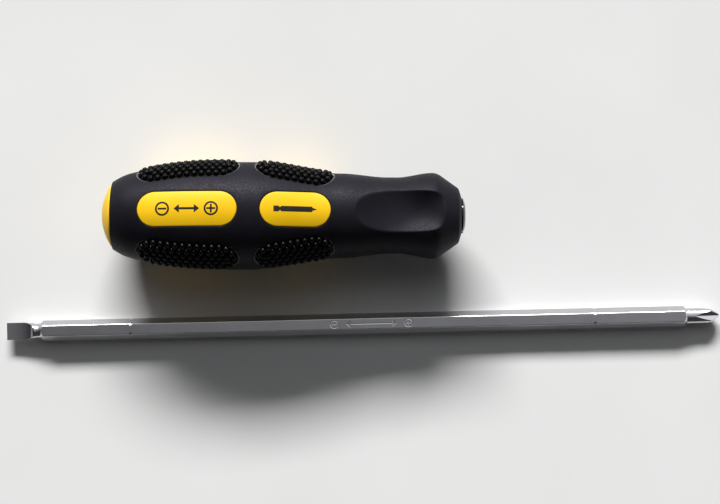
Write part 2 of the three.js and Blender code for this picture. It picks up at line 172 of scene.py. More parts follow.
def wrap_round_handle(piece):
    """Rolls what is drawn on the flat skin round the axis, its inside clear of the cap and the ferrule."""
    for vertex in piece.data.vertices:
        at, across, height = vertex.co
        nearest = round(across / third)
        aside = across - nearest * third
        angle = math.copysign(side_angle(at, abs(aside)), aside)
        radius = soft_min(grip_radius(at), dish_radius(at, angle), dish_rounding) + height
        if height < inner_side and at < cap_room_end:
            radius = max(radius, cap_room_radius)
        if height < inner_side and at > ferrule_room_from:
            radius = max(radius, ferrule_room_radius)
        turn = angle + nearest * 2 * sixth_turn
        vertex.co = (at, radius * math.sin(turn), radius * math.cos(turn))


ferrule_low, ferrule_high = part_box("nose_ferrule")
butt_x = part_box("butt_cap")[0].x
axis_y = (ferrule_low.y + ferrule_high.y) / 2
axis_z = (ferrule_low.z + ferrule_high.z) / 2
handle_roll = math.radians(-7)
millimetre = 0.001
on_handle = (
    Matrix.Translation((butt_x, axis_y, axis_z))
    @ Matrix.Rotation(handle_roll, 4, "X")
    @ Matrix.Scale(millimetre, 4)
)


def settle(piece, place):
    """Puts a piece that was drawn in millimetres in its place, with that place in its mesh."""
    piece.data.transform(place)
    piece.data.update()


def select_only(piece):
    bpy.ops.object.select_all(action="DESELECT")
    piece.select_set(True)
    bpy.context.view_layer.objects.active = piece


def edit(piece):
    select_only(piece)
    bpy.ops.object.mode_set(mode="EDIT")


def pick(kind, wanted):
    """Selects the vertices, edges or faces that are wanted, of the piece in edit mode."""
    bpy.ops.mesh.select_mode(type=kind)
    bpy.ops.mesh.select_all(action="DESELECT")
    drawn = bmesh.from_edit_mesh(bpy.context.object.data)
    for element in {"VERT": drawn.verts, "EDGE": drawn.edges, "FACE": drawn.faces}[kind]:
        if wanted(element):
            element.select_set(True)
    drawn.select_flush_mode()
    bmesh.update_edit_mesh(bpy.context.object.data)


def finish_edit():
    bpy.ops.object.mode_set(mode="OBJECT")


def middle_of(face):
    return face.calc_center_median()


def extrude(step):
    bpy.ops.mesh.extrude_region_move(TRANSFORM_OT_translate={"value": step})


def face_outwards():
    bpy.ops.mesh.select_all(action="SELECT")
    bpy.ops.mesh.normals_make_consistent(inside=False)


def draw_line(name, points):
    """A new piece in edit mode, with one line through all the points in it and selected."""
    bpy.ops.mesh.primitive_plane_add(size=1)
    piece = bpy.context.object
    piece.name = piece.data.name = name
    edit(piece)
    pick("VERT", lambda vertex: vertex.index > 0)
    bpy.ops.mesh.delete(type="VERT")
    pick("VERT", lambda vertex: True)
    drawn = bmesh.from_edit_mesh(piece.data)
    drawn.verts.ensure_lookup_table()
    drawn.verts[0].co = points[0]
    bmesh.update_edit_mesh(piece.data)
    for here, there in zip(points, points[1:]):
        extrude([b - a for a, b in zip(here, there)])
    bpy.ops.mesh.select_all(action="SELECT")
    return piece


def turn_on_lathe(name, profile, steps):
    """A piece of revolution about the X axis from its (station, radius) profile."""
    piece = draw_line(name, [(at, 0, radius) for at, radius in profile])
    bpy.ops.mesh.spin(steps=steps, angle=2 * math.pi, center=(0, 0, 0), axis=(1, 0, 0))
    bpy.ops.mesh.select_all(action="SELECT")
    bpy.ops.mesh.remove_doubles(threshold=0.002)
    face_outwards()
    finish_edit()
    return piece


def smooth(piece, degrees):
    select_only(piece)
    bpy.ops.object.shade_smooth_by_angle(angle=math.radians(degrees))


def joined(name, pieces):
    select_only(pieces[0])
    for piece in pieces[1:]:
        piece.select_set(True)
    bpy.ops.object.join()
    pieces[0].name = pieces[0].data.name = name
    return pieces[0]


# The skin's rows lie closest at the lip and the nose.
# Its lines run lengthwise, counted from a window's middle, and its seam is in a pocket's middle.
lip_row_pitch = 0.425
lip_rows = 12
grip_rows_from = 9.0
grip_row_pitch = 0.8
grip_rows = 138
nose_rows_from = 119.4
nose_rows = 14
row_places = [lip_at + i * lip_row_pitch for i in range(lip_rows)]
row_places += [grip_rows_from + i * grip_row_pitch for i in range(grip_rows)]
row_places += [nose_rows_from + i * (nose_end - nose_rows_from) / nose_rows for i in range(nose_rows + 1)]
window_columns = 8
rib_columns = 6
pocket_columns = 8
pocket_line = window_columns + rib_columns
half_lines = pocket_line + pocket_columns
seam_line = half_lines
lines_around = 6 * half_lines


def line_place(line):
    """How far across the flat skin a lengthwise line lies, counted from a window's middle."""
    thirds, local = divmod(line, 2 * half_lines)
    folded = min(local, 2 * half_lines - local)
    if folded <= window_columns:
        aside = folded * window_half / window_columns
    elif folded <= pocket_line:
        aside = window_half + (folded - window_columns) * rib_width / rib_columns
    else:
        aside = pocket_from + (folded - pocket_line) * pocket_half / pocket_columns
    return thirds * third + (aside if local <= half_lines else third - aside)


bpy.ops.mesh.primitive_grid_add(x_subdivisions=len(row_places) - 1, y_subdivisions=lines_around, size=1)
flat_skin = bpy.context.object
flat_skin.name = "flat_skin"
skin_points = flat_skin.data.vertices


def skin_point(row, line):
    return skin_points[(line - seam_line) * len(row_places) + row]


for line in range(seam_line, seam_line + lines_around + 1):
    for row, at in enumerate(row_places):
        skin_point(row, line).co = (at, line_place(line), 0)


def nearest_row(at):
    return min(range(len(row_places)), key=lambda row: abs(row_places[row] - at))


def round_ended_rim(start, end, half):
    """Half of the rim of a round-ended opening, from the middle of its rear end to that of its front."""
    steps = 30
    rear = []
    for i in range(steps + 1):
        turn = i * math.pi / 2 / steps
        rear.append((start + half - half * math.cos(turn), half * math.sin(turn)))
    return rear + [(start + end - at, aside) for at, aside in reversed(rear)]


def lay_rim(rim, corner, columns, middle_lines):
    """Draws a block of the skin in to a rim, its corners so far from the ends. Gives the points there."""
    first, last = nearest_row(rim[0][0]), nearest_row(rim[-1][0])
    reach = [0]
    for (at, aside), (next_at, next_aside) in zip(rim, rim[1:]):
        reach.append(reach[-1] + math.hypot(next_at - at, next_aside - aside))
    front_corner = reach[-1] - corner
    stops = [(corner * i / columns, first, i) for i in range(columns)]
    for row in range(first, last + 1):
        share = (row - first) / (last - first)
        stops.append((corner + (front_corner - corner) * share, row, columns))
    stops += [(reach[-1] - corner * i / columns, last, i) for i in range(columns)]
    pinned = set()
    for wanted, row, offset in stops:
        place = max(i for i in range(len(rim) - 1) if reach[i] <= wanted)
        share = min((wanted - reach[place]) / max(reach[place + 1] - reach[place], 1e-9), 1)
        at = rim[place][0] + (rim[place + 1][0] - rim[place][0]) * share
        aside = rim[place][1] + (rim[place + 1][1] - rim[place][1]) * share
        for middle in middle_lines:
            for side in (-1, 1):
                if not 0 <= middle + side * offset - seam_line <= lines_around:
                    continue
                point = skin_point(row, middle + side * offset)
                point.co = (at, line_place(middle) + side * aside, 0)
                pinned.add(point.index)
    return pinned


window_lines = [2 * half_lines * (i + 1) for i in range(3)]
pocket_lines = [half_lines * (2 * i + 1) for i in range(4)]
windows = [(13.6, 47.3), (54.8, 78.6)]
pockets = [(12.8, 47.3), (53.0, 79.4)]
held_before = 8.2
held_after = 119.5
eighth_turn = math.pi / 4
pinned = set()
for start, end in windows:
    rim = round_ended_rim(start, end, window_half)
    pinned |= lay_rim(rim, eighth_turn * window_half, window_columns, window_lines)
for start, end in pockets:
    rim = round_ended_rim(start, end, pocket_half)
    pinned |= lay_rim(rim, eighth_turn * pocket_half, pocket_columns, pocket_lines)
for line in range(seam_line, seam_line + lines_around + 1):
    for row, at in enumerate(row_places):
        if at < held_before or at > held_after or line in (seam_line, seam_line + lines_around):
            pinned.add(skin_point(row, line).index)
edit(flat_skin)
pick("VERT", lambda vertex: vertex.index not in pinned)
bpy.ops.mesh.vertices_smooth(factor=0.5, repeat=150, zaxis=False)
finish_edit()


def beyond(place, span, half, middle_lines):
    """How far a place on the flat skin lies outside a round-ended opening, less than 0 within it."""
    past = max(span[0] + half - place.x, place.x - span[1] + half, 0)
    return min(math.hypot(past, place.y - line_place(middle)) for middle in middle_lines) - half


def beyond_windows(place):
    return min(beyond(place, span, window_half, window_lines) for span in windows)


def beyond_pockets(place):
    return min(beyond(place, span, pocket_half, pocket_lines) for span in pockets)


def copy_of(piece, name):
    select_only(piece)
    bpy.ops.object.duplicate()
    bpy.context.object.name = bpy.context.object.data.name = name
    return bpy.context.object


def cut_from_skin(name, wanted):
    """A copy of the flat skin with only the wanted faces left, in edit mode with all of them selected."""
    piece = copy_of(flat_skin, name)
    edit(piece)
    pick("FACE", lambda face: not wanted(middle_of(face)))
    bpy.ops.mesh.delete(type="FACE")
    pick("FACE", lambda face: True)
    return piece


hair = 0.01


def rim_edge(edge, height):
    """Whether an edge at a height is the corner between a level face and an upright one."""
    if len(edge.link_faces) != 2 or any(abs(vertex.co.z - height) > hair for vertex in edge.verts):
        return False
    steep = [abs(face.normal.z) < 0.5 for face in edge.link_faces]
    return steep[0] != steep[1]


def plate_from_skin(name, wanted, edge_gap, bottom, top, rounding):
    """A plate with rounded upper edges, cut from the flat skin and a little smaller than its opening."""
    piece = cut_from_skin(name, wanted)
    bpy.ops.mesh.inset(thickness=edge_gap)
    bpy.ops.mesh.select_all(action="INVERT")
    bpy.ops.mesh.delete(type="FACE")
    bpy.ops.mesh.select_all(action="SELECT")
    bpy.ops.transform.translate(value=(0, 0, bottom))
    extrude((0, 0, top - bottom))
    face_outwards()
    pick("EDGE", lambda edge: rim_edge(edge, top))
    bpy.ops.mesh.bevel(offset=rounding, segments=3, affect="EDGES")
    finish_edit()
    return piece


window_pads = plate_from_skin(
    "window_pads",
    lambda place: beyond_windows(place) < 0,
    edge_gap=0.07, bottom=-4.8, top=-0.05, rounding=0.3,
)
wrap_round_handle(window_pads)

# The barrel under the rubber is hollow from the rear, and bored in steps from the front for the socket.
core_rear = 5.5
core_front = 120.7
core_stations = (core_rear, 9, 14, 20, 26, 32, 38, 45, 51, 58, 65, 72, 79, 86, 92)
rubber_depth = 4.4
core_neck_from = 98
core_neck_radius = 8.7
rear_hollow_end = 68.1
rear_hollow_radius = 6.9
socket_floor = 73.1
socket_radius = 5.9
ferrule_seat = 110.4
ferrule_seat_radius = 7.36
core_profile = [(rear_hollow_end, 0), (rear_hollow_end, rear_hollow_radius), (core_rear, rear_hollow_radius)]
core_profile += [(at, grip_radius(at) - rubber_depth) for at in core_stations]
core_profile += [(core_neck_from, core_neck_radius), (core_front, core_neck_radius)]
core_profile += [(core_front, ferrule_seat_radius), (ferrule_seat, ferrule_seat_radius)]
core_profile += [(ferrule_seat, socket_radius), (socket_floor, socket_radius), (socket_floor, 0)]
core_barrel = turn_on_lathe("core_barrel", core_profile, steps=72)
handle_core = joined("handle_core_moulding", [core_barrel, window_pads])
settle(handle_core, on_handle)
smooth(handle_core, degrees=40)


def surface_group(name, noises):
    """Noises over a surface, each with its scale as an input, its value as an output and its own stretch."""
    group = bpy.data.node_groups.new(name, "ShaderNodeTree")
    group.interface.new_socket("Place", in_out="INPUT", socket_type="NodeSocketVector")
    entry = group.nodes.new("NodeGroupInput")
    exit_node = group.nodes.new("NodeGroupOutput")
    for result, detail, stretch in noises:
        group.interface.new_socket(f"{result} Scale", in_out="INPUT", socket_type="NodeSocketFloat")
        group.interface.new_socket(result, in_out="OUTPUT", socket_type="NodeSocketFloat")
        mapping = group.nodes.new("ShaderNodeMapping")
        mapping.inputs["Scale"].default_value = stretch
        noise = group.nodes.new("ShaderNodeTexNoise")
        noise.inputs["Detail"].default_value = detail
        group.links.new(entry.outputs["Place"], mapping.inputs["Vector"])
        group.links.new(mapping.outputs["Vector"], noise.inputs["Vector"])
        group.links.new(entry.outputs[f"{result} Scale"], noise.inputs["Scale"])
        group.links.new(noise.outputs["Fac"], exit_node.inputs[result])
    return group


def new_material(name, group, scales, turn=0):
    """A material, its shader and the noises of its surface, turned by an angle about Z."""
    material = bpy.data.materials.new(name)
    material.use_nodes = True
    nodes, links = material.node_tree.nodes, material.node_tree.links
    nodes.clear()
    shader = nodes.new("ShaderNodeBsdfPrincipled")
    output = nodes.new("ShaderNodeOutputMaterial")
    links.new(shader.outputs["BSDF"], output.inputs["Surface"])
    place = nodes.new("ShaderNodeTexCoord")
    mapping = nodes.new("ShaderNodeMapping")
    mapping.inputs["Rotation"].default_value = (0, 0, turn)
    links.new(place.outputs["Object"], mapping.inputs["Vector"])
    surface = nodes.new("ShaderNodeGroup")
    surface.node_tree = group
    links.new(mapping.outputs["Vector"], surface.inputs["Place"])
    for noise, scale in scales.items():
        surface.inputs[f"{noise} Scale"].default_value = scale
    return material, shader, surface.outputs


noise_span = (0.3, 0.7)


def add_ramp(material, source, low, high, target):
    """Feeds a socket with what lies between two colours, or two greys for a roughness, as a noise goes."""
    ramp = material.node_tree.nodes.new("ShaderNodeValToRGB")
    for element, position, colour in zip(ramp.color_ramp.elements, noise_span, (low, high)):
        element.position = position
        element.color = (*colour, 1)
    material.node_tree.links.new(source, ramp.inputs["Fac"])
    material.node_tree.links.new(ramp.outputs["Color"], target)


def grey(level):
    return (level, level, level)


def add_bump(material, source, shader, strength, distance):
    bump = material.node_tree.nodes.new("ShaderNodeBump")
    bump.inputs["Strength"].default_value = strength
    bump.inputs["Distance"].default_value = distance
    material.node_tree.links.new(source, bump.inputs["Height"])
    material.node_tree.links.new(bump.outputs["Normal"], shader.inputs["Normal"])


# Every moulded surface has soft clouding and fine grain.
unstretched = (1, 1, 1)
moulded_surface = surface_group("moulded_surface", [("Cloud", 3, unstretched), ("Grain", 2, unstretched)])
deep_yellow = (0.82, 0.485, 0.006)
bright_yellow = (0.88, 0.53, 0.010)
yellow_plastic, shader, surface = new_material(
    "yellow_plastic", moulded_surface, {"Cloud": 60, "Grain": 2200},
)
add_ramp(yellow_plastic, surface["Cloud"], deep_yellow, bright_yellow, shader.inputs["Base Color"])
add_ramp(yellow_plastic, surface["Cloud"], grey(0.40), grey(0.48), shader.inputs["Roughness"])
add_bump(yellow_plastic, surface["Grain"], shader, strength=0.08, distance=0.00005)
shader.inputs["Specular IOR Level"].default_value = 0.16
handle_core.data.materials.clear()
handle_core.data.materials.append(yellow_plastic)
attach(handle_core, "handle")
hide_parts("handle_core")


# Socket, thrust disc and retaining ring
# Drawn hexagon steel tube pressed into the core, with a hard disc at its bottom for the blade to bear on.
# A split spring ring in front of it clicks into the blade's groove. Only the mouth shows them.

# Drawn and plated steel has fine lines along it and faint clouding.
drawn_out = (0.03, 1, 1)
drawn_metal = surface_group("drawn_metal", [("Lines", 4, drawn_out), ("Cloud", 3, unstretched)])


def metal(name, dark, light, smoothest, roughest, turn=0):
    """A bare or plated metal with draw lines along X, turned by an angle about Z."""
    material, shader, surface = new_material(name, drawn_metal, {"Lines": 2600, "Cloud": 90}, turn)
    add_ramp(material, surface["Cloud"], dark, light, shader.inputs["Base Color"])
    add_ramp(material, surface["Lines"], grey(smoothest), grey(roughest), shader.inputs["Roughness"])
    add_bump(material, surface["Lines"], shader, strength=0.06, distance=0.00004)
    shader.inputs["Metallic"].default_value = 1
    return material


socket_steel = metal("socket_steel", (0.30, 0.30, 0.31), (0.38, 0.38, 0.39), smoothest=0.3, roughest=0.42)
disc_steel = metal("disc_steel", (0.20, 0.20, 0.21), (0.27, 0.27, 0.28), smoothest=0.35, roughest=0.5)
spring_steel = metal("spring_steel", (0.19, 0.19, 0.20), (0.30, 0.29, 0.28), smoothest=0.22, roughest=0.35)
inner_metals = {"socket_sleeve": socket_steel, "thrust_disc": disc_steel, "retaining_ring": spring_steel}
for node, steel in inner_metals.items():
    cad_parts[node].data.materials.clear()
    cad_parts[node].data.materials.append(steel)


# Nose ferrule
# A turned steel ring with a dark glossy plating, pressed into the nose round the mouth of the socket.
# Its face is domed, and its skirt reaches back over the socket and traps the retaining ring.


def bend_between(start, middle, end, steps):
    """Points along a curve from start to end that leans towards the middle point."""
    points = []
    for i in range(steps + 1):
        ahead = i / steps
        back, pull, forth = (1 - ahead) ** 2, 2 * ahead * (1 - ahead), ahead ** 2
        points.append(tuple(back * a + pull * b + forth * c for a, b, c in zip(start, middle, end)))
    return points


skirt_rear = 110.7
skirt_radius = 7.05
skirt_bore = 5.76
spring_rear = 118.1
spring_front = 119.4
spring_bore = 4.72
shank_radius = 6.0
shank_draft = 0.01
rim_radius = 6.06
face_radius = 5.72
ferrule_rim = [(123.42, rim_radius), (123.54, rim_radius), (123.6, face_radius)]
dome_radius = 14
dome_centre = 110.82
dome_rings = 10
dome_ring_width = 0.162
mouth_radius = 3.97
mouth_chamfer = [(124.18, 4.0), (124.0, mouth_radius)]
ferrule_profile = [(skirt_rear, skirt_radius), (core_front, skirt_radius)]
ferrule_profile += [(core_front, shank_radius), (nose_end, shank_radius + shank_draft)]
ferrule_profile += bend_between(*ferrule_rim, steps=6)
for i in range(1, dome_rings + 1):
    radius = face_radius - i * dome_ring_width
    ferrule_profile.append((dome_centre + math.sqrt(dome_radius ** 2 - radius ** 2), radius))
ferrule_profile += mouth_chamfer
ferrule_profile += [(spring_front, mouth_radius), (spring_front, spring_bore), (spring_rear, spring_bore)]
ferrule_profile += [(spring_rear, skirt_bore), (skirt_rear, skirt_bore), (skirt_rear, skirt_radius)]
ferrule = turn_on_lathe("ferrule_ring", ferrule_profile, steps=96)
settle(ferrule, on_handle)
smooth(ferrule, degrees=35)
dark_plating = (0.018, 0.018, 0.017)
pale_plating = (0.026, 0.026, 0.025)
ferrule_plating = metal("ferrule_plating", dark_plating, pale_plating, smoothest=0.08, roughest=0.16)
ferrule.data.materials.append(ferrule_plating)
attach(ferrule, "handle")
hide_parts("nose_ferrule")


# Butt cap
# A domed cap of the same yellow plastic, its spigot glued into the hollow rear of the core.
# Its rim sits just inside the lip of the rubber.

cap_radius = 10.8
cap_height = 3.4
cap_rounding = [(3.42, 10.70), (3.75, 10.79)]
cap_base = 5.2
spigot_radius = 6.67
spigot_end = 13.2
cap_rings = 18
dome_share = 0.97
cap_sphere = (cap_radius ** 2 + cap_height ** 2) / (2 * cap_height)
cap_spread = dome_share * math.asin(cap_radius / cap_sphere)
cap_profile = [(0, 0)]
for i in range(1, cap_rings + 1):
    lean = cap_spread * i / cap_rings
    cap_profile.append((cap_sphere - cap_sphere * math.cos(lean), cap_sphere * math.sin(lean)))
cap_profile += cap_rounding + [(cap_base, cap_radius)]
cap_profile += [(cap_base, spigot_radius), (spigot_end, spigot_radius), (spigot_end, 0)]
butt_cap = turn_on_lathe("butt_cap_dome", cap_profile, steps=96)
settle(butt_cap, on_handle)
smooth(butt_cap, degrees=40)
butt_cap.data.materials.append(yellow_plastic)
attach(butt_cap, "handle")
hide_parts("butt_cap")


# Grip sleeve
# Soft dark rubber moulded over the core, with holes for the windows and pockets for the studded pads.
# Three thumb dishes are hollowed out of its neck, ahead of a flared collar and a cone down to the ferrule.

pocket_depth = 1.5
hole_depth = 1.3
sheet_low, sheet_high = line_place(seam_line), line_place(seam_line + lines_around)
sheet_margin = 0.5
sleeve = cut_from_skin("grip_sleeve_rubber", lambda place: beyond_windows(place) > 0)


def on_window_rim(edge):
    if not edge.is_boundary:
        return False
    middle = (edge.verts[0].co + edge.verts[1].co) / 2
    off_the_seam = sheet_low + sheet_margin < middle.y < sheet_high - sheet_margin
    return off_the_seam and shoulder_at < middle.x < waist_at


pick("EDGE", on_window_rim)
extrude((0, 0, -hole_depth))
pick("FACE", lambda face: beyond_pockets(middle_of(face)) < 0)
extrude((0, 0, -pocket_depth))


def open_seam():
    """Takes out the faces that stand on the skin's two long edges, which meet when it is rolled up."""
    for seam in (sheet_low, sheet_high):
        pick("FACE", lambda face: all(abs(vertex.co.y - seam) < hair for vertex in face.verts))
        bpy.ops.mesh.delete(type="ONLY_FACE")


open_seam()
face_outwards()
pick("EDGE", lambda edge: rim_edge(edge, -pocket_depth))
bpy.ops.mesh.bevel(offset=0.3, segments=2, affect="EDGES")
close_by = 0.1
pick("EDGE", lambda edge: rim_edge(edge, 0) and abs(beyond_windows(edge.verts[0].co)) < close_by)
bpy.ops.mesh.bevel(offset=0.15, segments=2, affect="EDGES")
pick("EDGE", lambda edge: rim_edge(edge, 0) and abs(beyond_pockets(edge.verts[0].co)) < close_by)
bpy.ops.mesh.bevel(offset=0.4, segments=3, affect="EDGES")

# The faces near the rims of the dishes are divided finely, so that the rims come out crisp and smooth.
dishes_from = 85
dishes_to = 119
dish_rim_band = 0.45


def depth_in_dish(place):
    """How deep a place on the flat skin is sunk in a dish, less than 0 beside it."""
    aside = place.y - round(place.y / third) * third
    return grip_radius(place.x) - dish_radius(place.x, side_angle(place.x, abs(aside)))


def near_dish_rim(face):
    if not dishes_from < face.verts[0].co.x < dishes_to:
        return False
    depths = [depth_in_dish(vertex.co) for vertex in face.verts]
    return min(depths) < 0 < max(depths) or min(abs(depth) for depth in depths) < dish_rim_band


pick("FACE", near_dish_rim)
bpy.ops.mesh.subdivide(number_cuts=3, ngon=False)
finish_edit()

# A painted highlight makes the lips of the pockets pale, most of all round their ends, where their rounding
# catches the light.
highlight_down_to = -0.4
highlight_from = -0.05
highlight_to = 0.3
painted_lip_highlight = sleeve.data.attributes.new("painted_lip_highlight", "FLOAT", "POINT")
for vertex, highlight_share in zip(sleeve.data.vertices, painted_lip_highlight.data):
    past_end = min(abs(vertex.co.x - (start + end) / 2) - (end - start) / 2 for start, end in pockets)
    on_lip = highlight_down_to < vertex.co.z and highlight_from < beyond_pockets(vertex.co) < highlight_to
    highlight_share.value = eased(past_end, -pocket_half, 0) if on_lip else 0


def apply_modifier(piece, name, kind, **settings):
    select_only(piece)
    modifier = piece.modifiers.new(name, kind)
    for setting, value in settings.items():
        setattr(modifier, setting, value)
    bpy.ops.object.modifier_apply(modifier=name)


apply_modifier(sleeve, "wall", "SOLIDIFY", thickness=0.9, offset=-1)
edit(sleeve)
open_seam()
finish_edit()
wrap_round_handle(sleeve)
edit(sleeve)
bpy.ops.mesh.select_all(action="SELECT")
bpy.ops.mesh.remove_doubles(threshold=hair)
finish_edit()
settle(sleeve, on_handle)
smooth(sleeve, degrees=50)

dark_rubber = (0.0056, 0.0053, 0.0078)
pale_rubber = (0.0085, 0.0081, 0.0117)
# The pale lip colour is a painted highlight on the rounded lips of the pockets.
lip_highlight_colour = (0.24, 0.235, 0.25, 1)
rubber_sheen = (0.93, 0.90, 1, 1)
grip_rubber, shader, surface = new_material("grip_rubber", moulded_surface, {"Cloud": 160, "Grain": 1500})
# The painted lip highlight is mixed into the rubber's colour here.
highlight_node = grip_rubber.node_tree.nodes.new("ShaderNodeAttribute")
highlight_node.attribute_name = "painted_lip_highlight"
blend = grip_rubber.node_tree.nodes.new("ShaderNodeMix")
blend.data_type = "RGBA"
blend.inputs["B"].default_value = lip_highlight_colour
grip_rubber.node_tree.links.new(highlight_node.outputs["Fac"], blend.inputs["Factor"])
add_ramp(grip_rubber, surface["Cloud"], dark_rubber, pale_rubber, blend.inputs["A"])
grip_rubber.node_tree.links.new(blend.outputs["Result"], shader.inputs["Base Color"])
add_ramp(grip_rubber, surface["Grain"], grey(0.44), grey(0.62), shader.inputs["Roughness"])
add_bump(grip_rubber, surface["Grain"], shader, strength=0.3, distance=0.00012)
shader.inputs["Specular IOR Level"].default_value = 0.12
shader.inputs["Specular Tint"].default_value = rubber_sheen
sleeve.data.materials.append(grip_rubber)
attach(sleeve, "handle")
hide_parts("grip_sleeve")


# Studded pads
# Softer rubber moulded into the pockets of the sleeve, six pads with rows of round-topped studs, coloured
# near black: partly the rubber's own black, partly painted shade for the shadow between the studs.
# The studs stand a little above the grip and give it its bite.

stud_pitch = 2.5
row_pitch = 2.1
stud_rows = 6
pad_bottom = -1.45
pad_top = -0.3
stud_root = 0.1
stud_top = 1.1
stud_foot = 1.16
stud_crown = 0.74
rim_line_gap = 0.02
inner_rows_gap = 1.95
spare_share = 0.55


def stud_shape():
    """One stud at the origin, a blunt cone with a rounded top."""
    foot_at = pad_top - stud_root
    bpy.ops.mesh.primitive_cone_add(
        vertices=10, radius1=stud_foot, radius2=stud_crown, depth=stud_top - foot_at,
        location=(0, 0, (stud_top + foot_at) / 2),
    )
    stud = bpy.context.object
    bpy.ops.object.transform_apply()
    edit(stud)
    pick("EDGE", lambda edge: all(vertex.co.z > stud_top - hair for vertex in edge.verts))
    bpy.ops.mesh.bevel(offset=0.55, segments=3, affect="EDGES")
    finish_edit()
    return stud


def stud_places(span):
    """Where a pad's studs stand: a line of them round its rim, and staggered rows within that."""
    straight = (span[1] - span[0]) / 2 - pocket_half
    rim = pocket_half - stud_foot - rim_line_gap
    quarter = straight + rim * math.pi / 2
    count = 2 * math.floor(2 * quarter / stud_pitch) + 1
    pitch = 4 * quarter / count
    places = []
    for i in range(count):
        walked = (i * pitch + quarter) % (4 * quarter) - quarter
        back = -1 if walked > quarter else 1
        walked = walked - 2 * quarter if back < 0 else walked
        bend = max(abs(walked) - straight, 0) / rim
        ahead = min(abs(walked), straight) + rim * math.sin(bend)
        places.append((back * math.copysign(ahead, walked), -back * rim * math.cos(bend)))
    for row in range(1, stud_rows - 1):
        aside = (row - (stud_rows - 1) / 2) * row_pitch
        reach = straight + math.sqrt((rim - inner_rows_gap) ** 2 - aside ** 2)
        stagger = 0.5 if row % 2 else 0
        last = math.floor(reach / pitch - stagger) + stagger
        places += [((i - last) * pitch, aside) for i in range(round(2 * last) + 1)]
        if reach - last * pitch > spare_share * pitch:
            places += [(-reach, aside), (reach, aside)]
    return places


def studded_pad(name, span):
    """One pad of studs, in the pocket under the handle."""
    plate = plate_from_skin(
        name, lambda place: beyond(place, span, pocket_half, pocket_lines[1:2]) < 0,
        edge_gap=0.06, bottom=pad_bottom, top=pad_top, rounding=0.15,
    )
    first_stud = stud_shape()
    pieces = [plate]
    for ahead, aside in stud_places(span):
        stud = copy_of(first_stud, "stud")
        stud.location = ((span[0] + span[1]) / 2 + ahead, line_place(pocket_lines[1]) + aside, 0)
        bpy.ops.object.transform_apply()
        pieces.append(stud)
    bpy.data.objects.remove(first_stud)
    pad = joined(name, pieces)
    wrap_round_handle(pad)
    return pad


# These blacks hold painted shade for the shadow between the studs as well as the rubber's own black.
deep_black = (0.0012, 0.0012, 0.0014)
soft_black = (0.0024, 0.0024, 0.0027)
stud_rubber, shader, surface = new_material("stud_rubber", moulded_surface, {"Cloud": 80, "Grain": 3000})
add_ramp(stud_rubber, surface["Cloud"], deep_black, soft_black, shader.inputs["Base Color"])
add_ramp(stud_rubber, surface["Grain"], grey(0.25), grey(0.33), shader.inputs["Roughness"])
add_bump(stud_rubber, surface["Grain"], shader, strength=0.15, distance=0.00008)
shader.inputs["Specular IOR Level"].default_value = 0.08

# The pad under the handle is number 2. The other two are copies of it, turned on by thirds.
for where, span in (("rear", pockets[0]), ("front", pockets[1])):
    first_pad = studded_pad(f"studs_{where}_2", span)
    smooth(first_pad, degrees=50)
    first_pad.data.materials.append(stud_rubber)
    for number, turns in ((1, 1), (3, 2), (2, 0)):
        pad = copy_of(first_pad, f"studs_{where}_{number}") if turns else first_pad
        settle(pad, on_handle @ Matrix.Rotation(-2 * sixth_turn * turns, 4, "X"))
        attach(pad, "handle")
        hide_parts(f"stud_pad_{where}_{number}")
bpy.data.objects.remove(flat_skin)


# Window signs
# Black ink printed on the two windows that face up, and curved as they are.
# The rear one shows a slotted and a crossed screw head with an arrow between them, the front one a blade.


def cut(piece, cutter, operation):
    """Cuts a piece with another, or joins the two, and takes the other away."""
    apply_modifier(piece, "cut", "BOOLEAN", operation=operation, solver="EXACT", object=cutter)
    bpy.data.objects.remove(cutter)


def extruded_outline(name, outline, push):
    """A prism: an outline of corners filled and pushed out."""
    piece = draw_line(name, outline)
    bpy.ops.mesh.edge_face_add()
    bpy.ops.mesh.select_all(action="SELECT")
    extrude(push)
    face_outwards()
    finish_edit()
    return piece


def prism_mark(at, aside, levels, outline):
    """An upright prism between two levels, its outline drawn about a place on the flat skin."""
    low, high = levels
    return extruded_outline("mark", [(at + x, aside + y, low) for x, y in outline], (0, 0, high - low))


def ring_mark(at, aside, levels, radius, line):
    low, high = levels
    cylinders = []
    for size, depth in ((radius, high - low), (radius - line, high - low + 1)):
        bpy.ops.mesh.primitive_cylinder_add(
            vertices=40, radius=size, depth=depth, location=(at, aside, (low + high) / 2),
        )
        cylinders.append(bpy.context.object)
    ring, bore = cylinders
    cut(ring, bore, "DIFFERENCE")
    bpy.ops.object.transform_apply()
    return ring


slot_share = 0.62


def screw_sign(at, aside, levels, radius, line, crossed):
    """A screw head seen from above, with a slot or a cross in it."""
    long, half = slot_share * radius, line / 2
    outline = [(long, half), (-long, half), (-long, -half), (long, -half)]
    if crossed:
        outline = [
            (long, half), (half, half), (half, long), (-half, long), (-half, half), (-long, half),
            (-long, -half), (-half, -half), (-half, -long), (half, -long), (half, -half), (long, -half),
        ]
    return [ring_mark(at, aside, levels, radius, line), prism_mark(at, aside, levels, outline)]


head_half_share = 0.8


def arrow_sign(at, aside, levels, long, line, head):
    """A straight arrow with a head at each end."""
    half, reach = line / 2, long / 2
    outline = [(reach, 0), (reach - head, head * head_half_share), (reach - head, half)]
    outline += [(-x, y) for x, y in reversed(outline)]
    outline += [(-x, -y) for x, y in outline[1:-1]]
    return [prism_mark(at, aside, levels, outline)]


